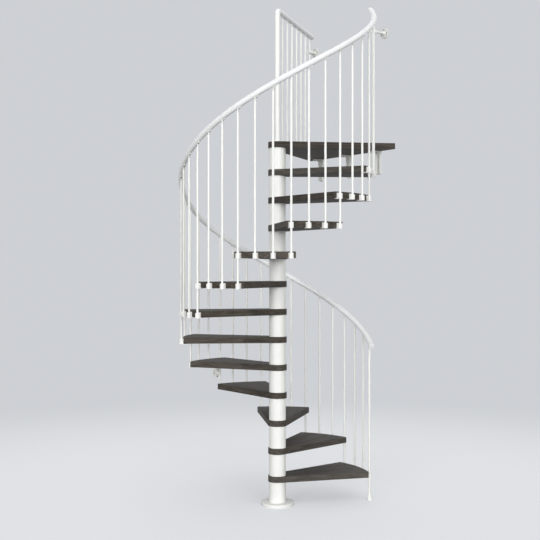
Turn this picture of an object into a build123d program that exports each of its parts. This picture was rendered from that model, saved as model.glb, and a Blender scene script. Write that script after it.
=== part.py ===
from build123d import *
import math
import os

os.makedirs("parts", exist_ok=True)

# Frame: origin on the stair axis at floor level, +Z up, millimetres.
# +X is the way the landing leaves the stair; the stair climbs turning left, seen from above.

# rise and turn
TREAD_COUNT = 12
FIRST_RISE = 224.0
RISE = 210.0
PITCH_DEG = 9.818            # turn from one baluster to the next
START_DEG = -24.72           # direction of the first baluster
BALUSTERS_PER_TREAD = 3
LOWER_FLIGHT_END = 4         # clamps, balusters and saddles are grouped in flights of four treads
MIDDLE_FLIGHT_END = 8

# centre pole
SLEEVE_R = 63.0
SLEEVE_WALL = 6.0
SLEEVE_BORE_R = SLEEVE_R - SLEEVE_WALL
ROD_R = 13.5
ROD_GAP = 0.5
ROD_HOLE_R = ROD_R + ROD_GAP
COVER_R = 127.0
COVER_H = 25.0
COVER_WALL = 3.0
COVER_TOP_T = 5.0
COVER_GAP = 0.3
COVER_HOLE_R = SLEEVE_R + COVER_GAP
COVER_ROUND = 6.0
PLATE_IN_COVER = 12.0        # room between the plate's rim and the inside of the cover
PLATE_R = COVER_R - COVER_WALL - PLATE_IN_COVER
PLATE_T = 10.0
PLATE_BOLT_R = 6.5
PLATE_BOLT_EDGE = 22.0
PLATE_BOLT_PCD_R = PLATE_R - PLATE_BOLT_EDGE
PLATE_BOLT_COUNT = 6
SPIGOT_GAP = 0.4
SPIGOT_R = SLEEVE_BORE_R - SPIGOT_GAP
SPIGOT_H = 12.0

# treads
TREAD_R = 712.0              # outer edge radius
TREAD_OVER_DEG = 2.776       # how far a tread reaches past its first and last baluster
TREAD_HALF_DEG = BALUSTERS_PER_TREAD * PITCH_DEG / 2 + TREAD_OVER_DEG
TREAD_T = 45.0
HUB_OVER = 7.5               # how far a tread's round end stands out past the sleeves
HUB_R = SLEEVE_R + HUB_OVER
TREAD_EASE = 0.8             # small bevel on the long edges

# spiral handrail
RAIL_OUT = 14.5              # from the tread edges to the rail and baluster line
RAIL_PATH_R = TREAD_R + RAIL_OUT
RAIL_R = 21.0
RAIL_OVER_FIRST = 1004.0     # rail centre over the first tread, at the first baluster
RAIL_Z0 = FIRST_RISE + RAIL_OVER_FIRST
RAIL_RISE = RISE / BALUSTERS_PER_TREAD
RAIL_FIRST_DEG = -5.204      # rail start, seams and end, turned on from the first baluster
RAIL_SEAM_1_DEG = 110.551
RAIL_SEAM_2_DEG = 226.305
RAIL_LAST_DEG = 357.572
RAIL_FIRST = RAIL_FIRST_DEG / PITCH_DEG
RAIL_SEAM_1 = RAIL_SEAM_1_DEG / PITCH_DEG
RAIL_SEAM_2 = RAIL_SEAM_2_DEG / PITCH_DEG
RAIL_LAST = RAIL_LAST_DEG / PITCH_DEG
CAP_T = 5.0
CAP_BEVEL = 1.5

# landing: its straight edge lies on the wall, just clear of the rail
RAIL_WALL_GAP = 2.5
LANDING_X = RAIL_PATH_R + RAIL_R + RAIL_WALL_GAP
LANDING_FRONT_DEG = -33.479  # directions of the two corners on the wall
LANDING_BACK_DEG = 34.941
LANDING_FRONT_Y = LANDING_X * math.tan(math.radians(LANDING_FRONT_DEG))
LANDING_BACK_Y = LANDING_X * math.tan(math.radians(LANDING_BACK_DEG))
LANDING_TOP = FIRST_RISE + RISE * TREAD_COUNT
LANDING_UNDER = LANDING_TOP - TREAD_T

# balusters
BALUSTER_R = 8.0
FIRST_BALUSTER_R = 9.0
LOWER_LAST = BALUSTERS_PER_TREAD * LOWER_FLIGHT_END
MIDDLE_LAST = BALUSTERS_PER_TREAD * MIDDLE_FLIGHT_END
LAST_BALUSTER = BALUSTERS_PER_TREAD * TREAD_COUNT
LAST_BALUSTER_OUT = 4.5      # the last baluster stands this much further out
LAST_BALUSTER_PATH_R = RAIL_PATH_R + LAST_BALUSTER_OUT
BALUSTER_DROP = 50.0         # baluster top below the rail centre
FOOT_BASE_R = 21.0
FOOT_BASE_H = 6.0
FOOT_TAPER_H = 4.0
FOOT_SHOULDER_R = 18.0
FOOT_NECK_R = 15.5
FOOT_H = 51.0
FOOT_BEVEL = 2.0

# baluster clamps on the tread edges
CLAMP_NOSE_R = 17.0          # round nose about the baluster
CLAMP_W = 39.0               # width at the tread's rim
CLAMP_ROOT = 6.0             # part of the block that is cut back to the rim
CLAMP_RIM_GAP = 0.2
CLAMP_TOP_DROP = 8.0         # clamp top below the tread top, at the rim
CLAMP_TOP = TREAD_T - CLAMP_TOP_DROP
CLAMP_SLOPE = 0.22           # fall of the clamp's top towards its nose
CLAMP_LIP = 5.0              # lip under the tread
CLAMP_LIP_REACH = 24.0
CLAMP_ROUND = 3.0
CLAMP_FLOOR = 2.0            # inside floor of a closed clamp, over the tread underside
BORE_GAP = 0.3

# saddles between balusters and rail
SADDLE_W = 12.0
SADDLE_LEN = 27.0
SADDLE_PLATE = 5.0
SADDLE_NECK = 10.0
SADDLE_GAP = 0.2
SADDLE_FOOT_H = 10.0         # broad foot of the last saddle, which reaches out to its baluster

# landing balustrade
POST_R = 20.0
POST_FOOT_R = 45.0
POST_FOOT_T = 8.0
GUARD_INSET_DEG = 1.041      # the balustrade runs this much inside the landing's back corner
GUARD_DEG = LANDING_BACK_DEG - GUARD_INSET_DEG
GUARD_HEIGHT = 998.0
GUARD_Z = LANDING_TOP + GUARD_HEIGHT
GUARD_R = 21.0
GUARD_BEND_R = 30.0
GUARD_WALL_GAP = 0.7         # from the near side of the rail's end to the wall
GUARD_END_X = LANDING_X - GUARD_WALL_GAP - GUARD_R * math.sin(math.radians(GUARD_DEG))
GUARD_LEN = GUARD_END_X / math.cos(math.radians(GUARD_DEG))
GUARD_BALUSTERS = 7
GUARD_OVER = 66.1            # from the last landing baluster to the rail's end
GUARD_STEP = (GUARD_LEN - GUARD_OVER) / GUARD_BALUSTERS
GUARD_FOOT_R = 13.0
GUARD_FOOT_H = 12.0

# wall brackets
FLANGE_R = 42.0
FLANGE_T = 6.0
FLANGE_BEVEL = 1.0
FLANGE_BOLT_R = 3.0
FLANGE_BOLT_EDGE = 13.0
FLANGE_BOLT_PCD_R = FLANGE_R - FLANGE_BOLT_EDGE
FLANGE_BOLTS = 4
COLLAR_R = 14.0
COLLAR_T = 8.0
ARM_R = 8.5
BOSS_R = 16.5
BOSS_BACK = 13.0             # sleeve round the baluster: how far it reaches past the baluster
BOSS_FRONT = 35.0            # and how far towards the wall
BOSS_ROUND = 2.0
CUP_BACK = 4.0               # the lower bracket's cup starts this far behind the baluster axis
WALL_X = LANDING_X
SIDE_WALL_GAP = 27.5         # from the rail to the left wall
WALL_Y = RAIL_PATH_R + RAIL_R + SIDE_WALL_GAP
UPPER_BRACKET_DROP = 95.0    # upper bracket under the top of the last baluster
GUARD_BRACKET_DROP = 89.0    # landing bracket under the top of the landing balusters
LOWER_BRACKET_BALUSTER = 12
LOWER_BRACKET_UP = 124.0     # lower bracket over the foot of its baluster

# supports under the landing, on the wall
SUPPORT_COUNT = 3
SUPPORT_MIDDLE_Y = 27.0
SUPPORT_STEP = 350.0
SUPPORT_W = 44.0
SUPPORT_DROP = 184.0
SUPPORT_DEPTH = 21.0
SUPPORT_REACH = 90.0
SUPPORT_RIM = 14.0
SUPPORT_WALL = 4.0
SUPPORT_RECESS = 9.0         # depth of the pressed hollow in both legs
SUPPORT_GAP = 0.2
SUPPORT_HOLE_R = 4.0
SUPPORT_HOLE_UP = 25.0       # lower wall screw over the support's round end
SUPPORT_HOLE_STEP = 90.0
SUPPORT_SCREW_R = 3.0
SUPPORT_SCREW_IN = 22.0      # first landing screw from the support's inner end
SUPPORT_SCREW_STEP = 30.0


def turn(index):
    return START_DEG + PITCH_DEG * index


def rail_z(index):
    return RAIL_Z0 + RAIL_RISE * index


def tread_top(number):
    return FIRST_RISE + RISE * (number - 1)


def at(radius, degrees):
    return (radius * math.cos(math.radians(degrees)), radius * math.sin(math.radians(degrees)))


def rail_place(index):
    return Location((0, 0, rail_z(index)), (0, 0, turn(index)))


def tangent_point(corner, side):
    # where the straight side from a corner touches the round hub
    reach = math.hypot(corner[0], corner[1])
    bearing = math.degrees(math.atan2(corner[1], corner[0]))
    return at(HUB_R, bearing + side * math.degrees(math.acos(HUB_R / reach)))


# base plate with its bolt holes and the spigot that centres the pole
with BuildPart() as base_plate:
    with BuildSketch(Plane.XY):
        Circle(PLATE_R)
        with PolarLocations(PLATE_BOLT_PCD_R, PLATE_BOLT_COUNT):
            Circle(PLATE_BOLT_R, mode=Mode.SUBTRACT)
    extrude(amount=PLATE_T)
    with BuildSketch(Plane.XY.offset(PLATE_T)):
        Circle(SPIGOT_R)
    extrude(amount=SPIGOT_H)
base_plate.part.label = "base_plate"
export_step(base_plate.part, "parts/base_plate.step")

# cover over the base plate
with BuildPart() as base_cover:
    with BuildSketch(Plane.XY):
        Circle(COVER_R)
    extrude(amount=COVER_H)
    fillet(base_cover.edges().group_by(Axis.Z)[-1], radius=COVER_ROUND)
    with BuildSketch(Plane.XY):
        Circle(COVER_R - COVER_WALL)
    extrude(amount=COVER_H - COVER_TOP_T, mode=Mode.SUBTRACT)
    with BuildSketch(Plane.XY):
        Circle(COVER_HOLE_R)
    extrude(amount=COVER_H, mode=Mode.SUBTRACT)
base_cover.part.label = "base_cover"
export_step(base_cover.part, "parts/base_cover.step")

# tie rod through the whole pole
ROD_FOOT = PLATE_T + SPIGOT_H
ROD_HEAD = LANDING_TOP
with BuildPart() as tie_rod:
    with BuildSketch(Plane.XY.offset(ROD_FOOT)):
        Circle(ROD_R)
    extrude(amount=ROD_HEAD - ROD_FOOT)
tie_rod.part.label = "tie_rod"
export_step(tie_rod.part, "parts/tie_rod.step")

# first sleeve, standing on the base plate
with BuildPart() as pole_foot_sleeve:
    with BuildSketch(Plane.XY.offset(PLATE_T)):
        Circle(SLEEVE_R)
        Circle(SLEEVE_BORE_R, mode=Mode.SUBTRACT)
    extrude(amount=FIRST_RISE - TREAD_T - PLATE_T)
pole_foot_sleeve.part.label = "pole_foot_sleeve"
export_step(pole_foot_sleeve.part, "parts/pole_foot_sleeve.step")

# the twelve sleeves between the treads and up to the landing
with BuildPart() as sleeve_form:
    with BuildSketch(Plane.XY):
        Circle(SLEEVE_R)
        Circle(SLEEVE_BORE_R, mode=Mode.SUBTRACT)
    extrude(amount=RISE - TREAD_T)

with BuildPart() as pole_sleeves:
    with Locations(*[(0, 0, tread_top(k)) for k in range(1, TREAD_COUNT + 1)]):
        add(sleeve_form.part)
pole_sleeves.part.label = "pole_sleeves"
export_step(pole_sleeves.part, "parts/pole_sleeves.step")

# treads: a wedge drawn tangent to its round hub
TREAD_CORNER_L = at(TREAD_R, TREAD_HALF_DEG)
TREAD_CORNER_R = at(TREAD_R, -TREAD_HALF_DEG)
with BuildPart() as tread_form:
    with BuildSketch(Plane.XY):
        with BuildLine():
            Line(tangent_point(TREAD_CORNER_L, 1), TREAD_CORNER_L)
            ThreePointArc(TREAD_CORNER_L, (TREAD_R, 0), TREAD_CORNER_R)
            Line(TREAD_CORNER_R, tangent_point(TREAD_CORNER_R, -1))
            ThreePointArc(tangent_point(TREAD_CORNER_R, -1), (-HUB_R, 0),
                          tangent_point(TREAD_CORNER_L, 1))
        make_face()
    extrude(amount=TREAD_T)
    chamfer(tread_form.edges().group_by(Axis.Z)[-1], length=TREAD_EASE)
    chamfer(tread_form.edges().group_by(Axis.Z)[0], length=TREAD_EASE)
    with BuildSketch(Plane.XY):
        Circle(ROD_HOLE_R)
    extrude(amount=TREAD_T, mode=Mode.SUBTRACT)

for k in range(1, TREAD_COUNT + 1):
    middle = turn(BALUSTERS_PER_TREAD * (k - 1) + BALUSTERS_PER_TREAD / 2)
    with BuildPart() as tread:
        with Locations(Location((0, 0, tread_top(k) - TREAD_T), (0, 0, middle))):
            add(tread_form.part)
    tread.part.label = "tread_%02d" % k
    export_step(tread.part, "parts/tread_%02d.step" % k)

# landing, with the hole for the last baluster
LANDING_FRONT = (LANDING_X, LANDING_FRONT_Y)
LANDING_BACK = (LANDING_X, LANDING_BACK_Y)
with BuildPart() as landing:
    with BuildSketch(Plane.XY.offset(LANDING_UNDER)):
        with BuildLine():
            Line(tangent_point(LANDING_BACK, 1), LANDING_BACK)
            Line(LANDING_BACK, LANDING_FRONT)
            Line(LANDING_FRONT, tangent_point(LANDING_FRONT, -1))
            ThreePointArc(tangent_point(LANDING_FRONT, -1), (-HUB_R, 0),
                          tangent_point(LANDING_BACK, 1))
        make_face()
    extrude(amount=TREAD_T)
    chamfer(landing.edges().group_by(Axis.Z)[-1], length=TREAD_EASE)
    with BuildSketch(Plane.XY.offset(LANDING_UNDER)):
        Circle(ROD_HOLE_R)
        with Locations(at(LAST_BALUSTER_PATH_R, turn(LAST_BALUSTER))):
            Circle(BALUSTER_R + BORE_GAP)
    extrude(amount=TREAD_T, mode=Mode.SUBTRACT)
landing.part.label = "landing"
export_step(landing.part, "parts/landing.step")


# clamps, drawn on the +X side with the tread underside at z = 0: a lip under the tread and a
# block against its rim, with a round nose and a sloping top, in which the baluster stands
def clamp_form(path_r, bore_r, bore_from):
    root = TREAD_R - CLAMP_ROOT
    beyond = path_r + CLAMP_NOSE_R + CLAMP_ROOT
    with BuildPart() as clamp:
        with BuildSketch(Plane.XY.offset(-CLAMP_LIP)):
            with BuildLine():
                Line((root, -CLAMP_W / 2), (root, CLAMP_W / 2))
                CenterArc((path_r, 0), CLAMP_NOSE_R, 0, 360)
            make_hull()
        extrude(amount=CLAMP_LIP + TREAD_T)
        with BuildSketch(Plane.XZ):
            with BuildLine():
                Polyline((root, CLAMP_TOP + CLAMP_SLOPE * CLAMP_ROOT),
                         (beyond, CLAMP_TOP - CLAMP_SLOPE * (beyond - TREAD_R)),
                         (beyond, 2 * TREAD_T), (root, 2 * TREAD_T),
                         (root, CLAMP_TOP + CLAMP_SLOPE * CLAMP_ROOT))
            make_face()
        extrude(amount=CLAMP_W, both=True, mode=Mode.SUBTRACT)
        fillet(clamp.faces().sort_by(Axis.Z)[-1].edges(), radius=CLAMP_ROUND)
        with BuildSketch(Plane.XY):
            Circle(TREAD_R + CLAMP_RIM_GAP)
        extrude(amount=TREAD_T, mode=Mode.SUBTRACT)
        with BuildSketch(Plane.XY.offset(-CLAMP_LIP)):
            with Locations((TREAD_R - CLAMP_LIP_REACH / 2, 0)):
                Rectangle(CLAMP_LIP_REACH, CLAMP_W)
        extrude(amount=CLAMP_LIP)
        with BuildSketch(Plane.XY.offset(bore_from)):
            with Locations((path_r, 0)):
                Circle(bore_r)
        extrude(amount=TREAD_T, mode=Mode.SUBTRACT)
    return clamp.part


clamp_open = clamp_form(RAIL_PATH_R, BALUSTER_R + BORE_GAP, -CLAMP_LIP)
clamp_closed = clamp_form(RAIL_PATH_R, BALUSTER_R + BORE_GAP, CLAMP_FLOOR)
clamp_first = clamp_form(RAIL_PATH_R, FIRST_BALUSTER_R + BORE_GAP, -CLAMP_LIP)
clamp_last = clamp_form(LAST_BALUSTER_PATH_R, BALUSTER_R + BORE_GAP, CLAMP_FLOOR)


def clamp_place(k, step):
    under = tread_top(k) - TREAD_T
    return Location((0, 0, under), (0, 0, turn(BALUSTERS_PER_TREAD * (k - 1) + step)))


with BuildPart() as clamps_lower:
    with Locations(clamp_place(1, 0)):
        add(clamp_first)
    with Locations(*[clamp_place(k, 0) for k in range(2, LOWER_FLIGHT_END + 1)]):
        add(clamp_open)
    with Locations(*[clamp_place(k, s + 1) for k in range(1, LOWER_FLIGHT_END + 1)
                     for s in range(BALUSTERS_PER_TREAD)]):
        add(clamp_closed)
clamps_lower.part.label = "clamps_lower"
export_step(clamps_lower.part, "parts/clamps_lower.step")

with BuildPart() as clamps_middle:
    with Locations(*[clamp_place(k, 0) for k in range(LOWER_FLIGHT_END + 1, MIDDLE_FLIGHT_END + 1)]):
        add(clamp_open)
    with Locations(*[clamp_place(k, s + 1) for k in range(LOWER_FLIGHT_END + 1, MIDDLE_FLIGHT_END + 1)
                     for s in range(BALUSTERS_PER_TREAD)]):
        add(clamp_closed)
clamps_middle.part.label = "clamps_middle"
export_step(clamps_middle.part, "parts/clamps_middle.step")

with BuildPart() as clamps_upper:
    with Locations(*[clamp_place(k, 0) for k in range(MIDDLE_FLIGHT_END + 1, TREAD_COUNT + 1)]):
        add(clamp_open)
    with Locations(*[clamp_place(k, s + 1) for k in range(MIDDLE_FLIGHT_END + 1, TREAD_COUNT + 1)
                     for s in range(BALUSTERS_PER_TREAD)
                     if BALUSTERS_PER_TREAD * (k - 1) + s + 1 < LAST_BALUSTER]):
        add(clamp_closed)
    with Locations(clamp_place(TREAD_COUNT, BALUSTERS_PER_TREAD)):
        add(clamp_last)
clamps_upper.part.label = "clamps_upper"
export_step(clamps_upper.part, "parts/clamps_upper.step")


def baluster_foot_z(index):
    k = math.ceil(index / BALUSTERS_PER_TREAD)
    return tread_top(k) - TREAD_T + CLAMP_FLOOR


def baluster_top_z(index):
    return rail_z(index) - BALUSTER_DROP


# balusters, in three flights, each rod its own solid
with BuildPart() as balusters_lower:
    for i in range(1, LOWER_LAST + 1):
        with BuildSketch(Plane.XY.offset(baluster_foot_z(i))):
            with Locations(at(RAIL_PATH_R, turn(i))):
                Circle(BALUSTER_R)
        extrude(amount=baluster_top_z(i) - baluster_foot_z(i))
balusters_lower.part.label = "balusters_lower"
export_step(balusters_lower.part, "parts/balusters_lower.step")

with BuildPart() as balusters_middle:
    for i in range(LOWER_LAST + 1, MIDDLE_LAST + 1):
        with BuildSketch(Plane.XY.offset(baluster_foot_z(i))):
            with Locations(at(RAIL_PATH_R, turn(i))):
                Circle(BALUSTER_R)
        extrude(amount=baluster_top_z(i) - baluster_foot_z(i))
balusters_middle.part.label = "balusters_middle"
export_step(balusters_middle.part, "parts/balusters_middle.step")

with BuildPart() as balusters_upper:
    for i in range(MIDDLE_LAST + 1, LAST_BALUSTER):
        with BuildSketch(Plane.XY.offset(baluster_foot_z(i))):
            with Locations(at(RAIL_PATH_R, turn(i))):
                Circle(BALUSTER_R)
        extrude(amount=baluster_top_z(i) - baluster_foot_z(i))
balusters_upper.part.label = "balusters_upper"
export_step(balusters_upper.part, "parts/balusters_upper.step")

# first baluster with the flared foot that stands on the floor
with BuildPart() as first_baluster:
    with BuildSketch(Plane.XY):
        with Locations(at(RAIL_PATH_R, turn(0))):
            Circle(FIRST_BALUSTER_R)
    extrude(amount=baluster_top_z(0))
    with BuildSketch(Plane.XZ):
        with BuildLine():
            Polyline((0, 0), (FOOT_BASE_R, 0), (FOOT_BASE_R, FOOT_BASE_H),
                     (FOOT_SHOULDER_R, FOOT_BASE_H + FOOT_TAPER_H),
                     (FOOT_NECK_R, FOOT_H - FOOT_BEVEL),
                     (FOOT_NECK_R - FOOT_BEVEL, FOOT_H), (0, FOOT_H), (0, 0))
        make_face()
    foot = revolve(axis=Axis.Z, mode=Mode.PRIVATE)
    with Locations(at(RAIL_PATH_R, turn(0))):
        add(foot)
first_baluster.part.label = "first_baluster"
export_step(first_baluster.part, "parts/first_baluster.step")

# last baluster, from the top clamp through the landing to the rail
with BuildPart() as last_baluster:
    with BuildSketch(Plane.XY.offset(baluster_foot_z(LAST_BALUSTER))):
        with Locations(at(LAST_BALUSTER_PATH_R, turn(LAST_BALUSTER))):
            Circle(BALUSTER_R)
    extrude(amount=baluster_top_z(LAST_BALUSTER) - baluster_foot_z(LAST_BALUSTER))
last_baluster.part.label = "last_baluster"
export_step(last_baluster.part, "parts/last_baluster.step")

# saddles: neck on the baluster top, sloped plate under the rail; drawn for rail centre z = 0
RAIL_SLOPE = RAIL_RISE / (RAIL_PATH_R * math.radians(PITCH_DEG))
SADDLE_DEPTH = (RAIL_R + SADDLE_GAP) * math.sqrt(1 + RAIL_SLOPE * RAIL_SLOPE)
PLATE_DEPTH = SADDLE_DEPTH + SADDLE_PLATE
HALF_LEN = SADDLE_LEN / 2
HALF_NECK = SADDLE_NECK / 2
with BuildPart() as saddle:
    with BuildSketch(Plane.YZ.offset(RAIL_PATH_R - SADDLE_W / 2)):
        with BuildLine():
            Polyline((-HALF_NECK, -BALUSTER_DROP), (HALF_NECK, -BALUSTER_DROP),
                     (HALF_NECK, HALF_NECK * RAIL_SLOPE - PLATE_DEPTH),
                     (HALF_LEN, HALF_LEN * RAIL_SLOPE - PLATE_DEPTH),
                     (HALF_LEN, HALF_LEN * RAIL_SLOPE - SADDLE_DEPTH),
                     (-HALF_LEN, -HALF_LEN * RAIL_SLOPE - SADDLE_DEPTH),
                     (-HALF_LEN, -HALF_LEN * RAIL_SLOPE - PLATE_DEPTH),
                     (-HALF_NECK, -HALF_NECK * RAIL_SLOPE - PLATE_DEPTH),
                     (-HALF_NECK, -BALUSTER_DROP))
        make_face()
    extrude(amount=SADDLE_W)


with BuildPart() as saddles_lower:
    with Locations(*[rail_place(i) for i in range(0, LOWER_LAST + 1)]):
        add(saddle.part)
saddles_lower.part.label = "saddles_lower"
export_step(saddles_lower.part, "parts/saddles_lower.step")

with BuildPart() as saddles_middle:
    with Locations(*[rail_place(i) for i in range(LOWER_LAST + 1, MIDDLE_LAST + 1)]):
        add(saddle.part)
saddles_middle.part.label = "saddles_middle"
export_step(saddles_middle.part, "parts/saddles_middle.step")

with BuildPart() as last_saddle:
    with Locations((0, 0, 0)):
        add(saddle.part)
    with BuildSketch(Plane.XY.offset(-BALUSTER_DROP)):
        with Locations(((RAIL_PATH_R + LAST_BALUSTER_PATH_R) / 2, 0)):
            Rectangle(LAST_BALUSTER_PATH_R - RAIL_PATH_R + SADDLE_W, SADDLE_NECK)
    extrude(amount=SADDLE_FOOT_H)

with BuildPart() as saddles_upper:
    with Locations(*[rail_place(i) for i in range(MIDDLE_LAST + 1, LAST_BALUSTER)]):
        add(saddle.part)
    with Locations(rail_place(LAST_BALUSTER)):
        add(last_saddle.part)
saddles_upper.part.label = "saddles_upper"
export_step(saddles_upper.part, "parts/saddles_upper.step")

# spiral handrail in three lengths, each swept from the +X side and then turned into place
RAIL_PITCH = RAIL_RISE * 360.0 / PITCH_DEG
RAIL_RUN = RAIL_PATH_R * math.radians(PITCH_DEG)
RAIL_STEP = math.hypot(RAIL_RUN, RAIL_RISE)
RAIL_MOUTH = Plane(origin=(RAIL_PATH_R, 0, 0), x_dir=(1, 0, 0),
                   z_dir=(0, RAIL_RUN / RAIL_STEP, RAIL_RISE / RAIL_STEP))


with BuildPart() as rail_form_lower:
    with BuildLine() as lower_path:
        Helix(pitch=RAIL_PITCH, height=RAIL_RISE * (RAIL_SEAM_1 - RAIL_FIRST), radius=RAIL_PATH_R)
    with BuildSketch(RAIL_MOUTH):
        Circle(RAIL_R)
    sweep(path=lower_path.line, is_frenet=True)
with BuildPart() as handrail_lower:
    with Locations(rail_place(RAIL_FIRST)):
        add(rail_form_lower.part)
handrail_lower.part.label = "handrail_lower"
export_step(handrail_lower.part, "parts/handrail_lower.step")

with BuildPart() as rail_form_middle:
    with BuildLine() as middle_path:
        Helix(pitch=RAIL_PITCH, height=RAIL_RISE * (RAIL_SEAM_2 - RAIL_SEAM_1), radius=RAIL_PATH_R)
    with BuildSketch(RAIL_MOUTH):
        Circle(RAIL_R)
    sweep(path=middle_path.line, is_frenet=True)
with BuildPart() as handrail_middle:
    with Locations(rail_place(RAIL_SEAM_1)):
        add(rail_form_middle.part)
handrail_middle.part.label = "handrail_middle"
export_step(handrail_middle.part, "parts/handrail_middle.step")

with BuildPart() as rail_form_upper:
    with BuildLine() as upper_path:
        Helix(pitch=RAIL_PITCH, height=RAIL_RISE * (RAIL_LAST - RAIL_SEAM_2), radius=RAIL_PATH_R)
    with BuildSketch(RAIL_MOUTH):
        Circle(RAIL_R)
    sweep(path=upper_path.line, is_frenet=True)
with BuildPart() as handrail_upper:
    with Locations(rail_place(RAIL_SEAM_2)):
        add(rail_form_upper.part)
handrail_upper.part.label = "handrail_upper"
export_step(handrail_upper.part, "parts/handrail_upper.step")

# plugs on the two rail ends
with BuildPart() as top_cap:
    with BuildSketch(RAIL_MOUTH):
        Circle(RAIL_R)
    extrude(amount=CAP_T)
    chamfer(top_cap.edges().sort_by_distance((RAIL_PATH_R, 100, 100))[0], length=CAP_BEVEL)
with BuildPart() as foot_cap:
    with BuildSketch(RAIL_MOUTH):
        Circle(RAIL_R)
    extrude(amount=-CAP_T)
    chamfer(foot_cap.edges().sort_by_distance((RAIL_PATH_R, -100, -100))[0], length=CAP_BEVEL)
with BuildPart() as handrail_caps:
    with Locations(rail_place(RAIL_LAST)):
        add(top_cap.part)
    with Locations(rail_place(RAIL_FIRST)):
        add(foot_cap.part)
handrail_caps.part.label = "handrail_caps"
export_step(handrail_caps.part, "parts/handrail_caps.step")

# post over the pole, with its foot plate
with BuildPart() as landing_post:
    with BuildSketch(Plane.XY.offset(LANDING_TOP)):
        Circle(POST_FOOT_R)
    extrude(amount=POST_FOOT_T)
    with BuildSketch(Plane.XY.offset(LANDING_TOP + POST_FOOT_T)):
        Circle(POST_R)
    extrude(amount=GUARD_Z - GUARD_BEND_R - LANDING_TOP - POST_FOOT_T)
landing_post.part.label = "landing_post"
export_step(landing_post.part, "parts/landing_post.step")

# top rail over the landing: bend off the post, then straight to the wall side
GUARD_DIR = at(1.0, GUARD_DEG)
BEND_END = at(GUARD_BEND_R, GUARD_DEG)
BEND_MID = at(GUARD_BEND_R * (1 - math.cos(math.pi / 4)), GUARD_DEG)
GUARD_END = at(GUARD_LEN, GUARD_DEG)
with BuildPart() as landing_rail:
    with BuildLine() as guard_path:
        ThreePointArc((0, 0, GUARD_Z - GUARD_BEND_R),
                      (BEND_MID[0], BEND_MID[1],
                       GUARD_Z - GUARD_BEND_R * (1 - math.sin(math.pi / 4))),
                      (BEND_END[0], BEND_END[1], GUARD_Z))
        Line((BEND_END[0], BEND_END[1], GUARD_Z), (GUARD_END[0], GUARD_END[1], GUARD_Z))
    with BuildSketch(Plane.XY.offset(GUARD_Z - GUARD_BEND_R)):
        Circle(GUARD_R)
    sweep(path=guard_path.line)
landing_rail.part.label = "landing_rail"
export_step(landing_rail.part, "parts/landing_rail.step")

# seven balusters on the landing, each on a small foot, with a neck under the rail
with BuildPart() as landing_balusters:
    for j in range(1, GUARD_BALUSTERS + 1):
        spot = at(GUARD_STEP * j, GUARD_DEG)
        with BuildSketch(Plane.XY.offset(LANDING_TOP)):
            with Locations(spot):
                Circle(GUARD_FOOT_R)
        extrude(amount=GUARD_FOOT_H)
        with BuildSketch(Plane.XY.offset(LANDING_TOP + GUARD_FOOT_H)):
            with Locations(spot):
                Circle(BALUSTER_R)
        extrude(amount=GUARD_Z - BALUSTER_DROP - LANDING_TOP - GUARD_FOOT_H)
landing_balusters.part.label = "landing_balusters"
export_step(landing_balusters.part, "parts/landing_balusters.step")

with BuildPart() as guard_saddle:
    with BuildSketch(Plane.XZ.offset(-SADDLE_W / 2)):
        with BuildLine():
            Polyline((-HALF_NECK, -BALUSTER_DROP), (HALF_NECK, -BALUSTER_DROP),
                     (HALF_NECK, -GUARD_R - SADDLE_GAP - SADDLE_PLATE),
                     (HALF_LEN, -GUARD_R - SADDLE_GAP - SADDLE_PLATE),
                     (HALF_LEN, -GUARD_R - SADDLE_GAP), (-HALF_LEN, -GUARD_R - SADDLE_GAP),
                     (-HALF_LEN, -GUARD_R - SADDLE_GAP - SADDLE_PLATE),
                     (-HALF_NECK, -GUARD_R - SADDLE_GAP - SADDLE_PLATE),
                     (-HALF_NECK, -BALUSTER_DROP))
        make_face()
    extrude(amount=SADDLE_W)

with BuildPart() as landing_saddles:
    with Locations(*[Location((*at(GUARD_STEP * j, GUARD_DEG), GUARD_Z), (0, 0, GUARD_DEG))
                     for j in range(1, GUARD_BALUSTERS + 1)]):
        add(guard_saddle.part)
landing_saddles.part.label = "landing_saddles"
export_step(landing_saddles.part, "parts/landing_saddles.step")


# wall brackets, drawn with the baluster on the Z axis and the arm along +X
def flange_and_arm(reach, arm_from):
    with BuildPart() as bracket:
        with BuildSketch(Plane.YZ.offset(reach - FLANGE_T)):
            Circle(FLANGE_R)
        extrude(amount=FLANGE_T)
        chamfer(bracket.edges().group_by(Axis.X)[0], length=FLANGE_BEVEL)
        with BuildSketch(Plane.YZ.offset(reach - FLANGE_T)):
            with PolarLocations(FLANGE_BOLT_PCD_R, FLANGE_BOLTS):
                Circle(FLANGE_BOLT_R)
        extrude(amount=FLANGE_T, mode=Mode.SUBTRACT)
        with BuildSketch(Plane.YZ.offset(reach - FLANGE_T - COLLAR_T)):
            Circle(COLLAR_R)
        extrude(amount=COLLAR_T)
        with BuildSketch(Plane.YZ.offset(arm_from)):
            Circle(ARM_R)
        extrude(amount=reach - FLANGE_T - arm_from)
    return bracket.part


def sleeve_bracket(reach):
    arm = flange_and_arm(reach, 0)
    with BuildPart() as bracket:
        with BuildSketch(Plane.YZ.offset(-BOSS_BACK)):
            Circle(BOSS_R)
        extrude(amount=BOSS_BACK + BOSS_FRONT)
        fillet(bracket.edges().filter_by(GeomType.CIRCLE), radius=BOSS_ROUND)
        add(arm)
        with BuildSketch(Plane.XY.offset(-BOSS_R)):
            Circle(BALUSTER_R + BORE_GAP)
        extrude(amount=2 * BOSS_R, mode=Mode.SUBTRACT)
    return bracket.part


def cup_bracket(reach):
    arm = flange_and_arm(reach, CUP_BACK)
    with BuildPart() as bracket:
        add(arm)
        with BuildSketch(Plane.XY.offset(-ARM_R)):
            Circle(BALUSTER_R + BORE_GAP)
        extrude(amount=2 * ARM_R, mode=Mode.SUBTRACT)
    return bracket.part


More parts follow.
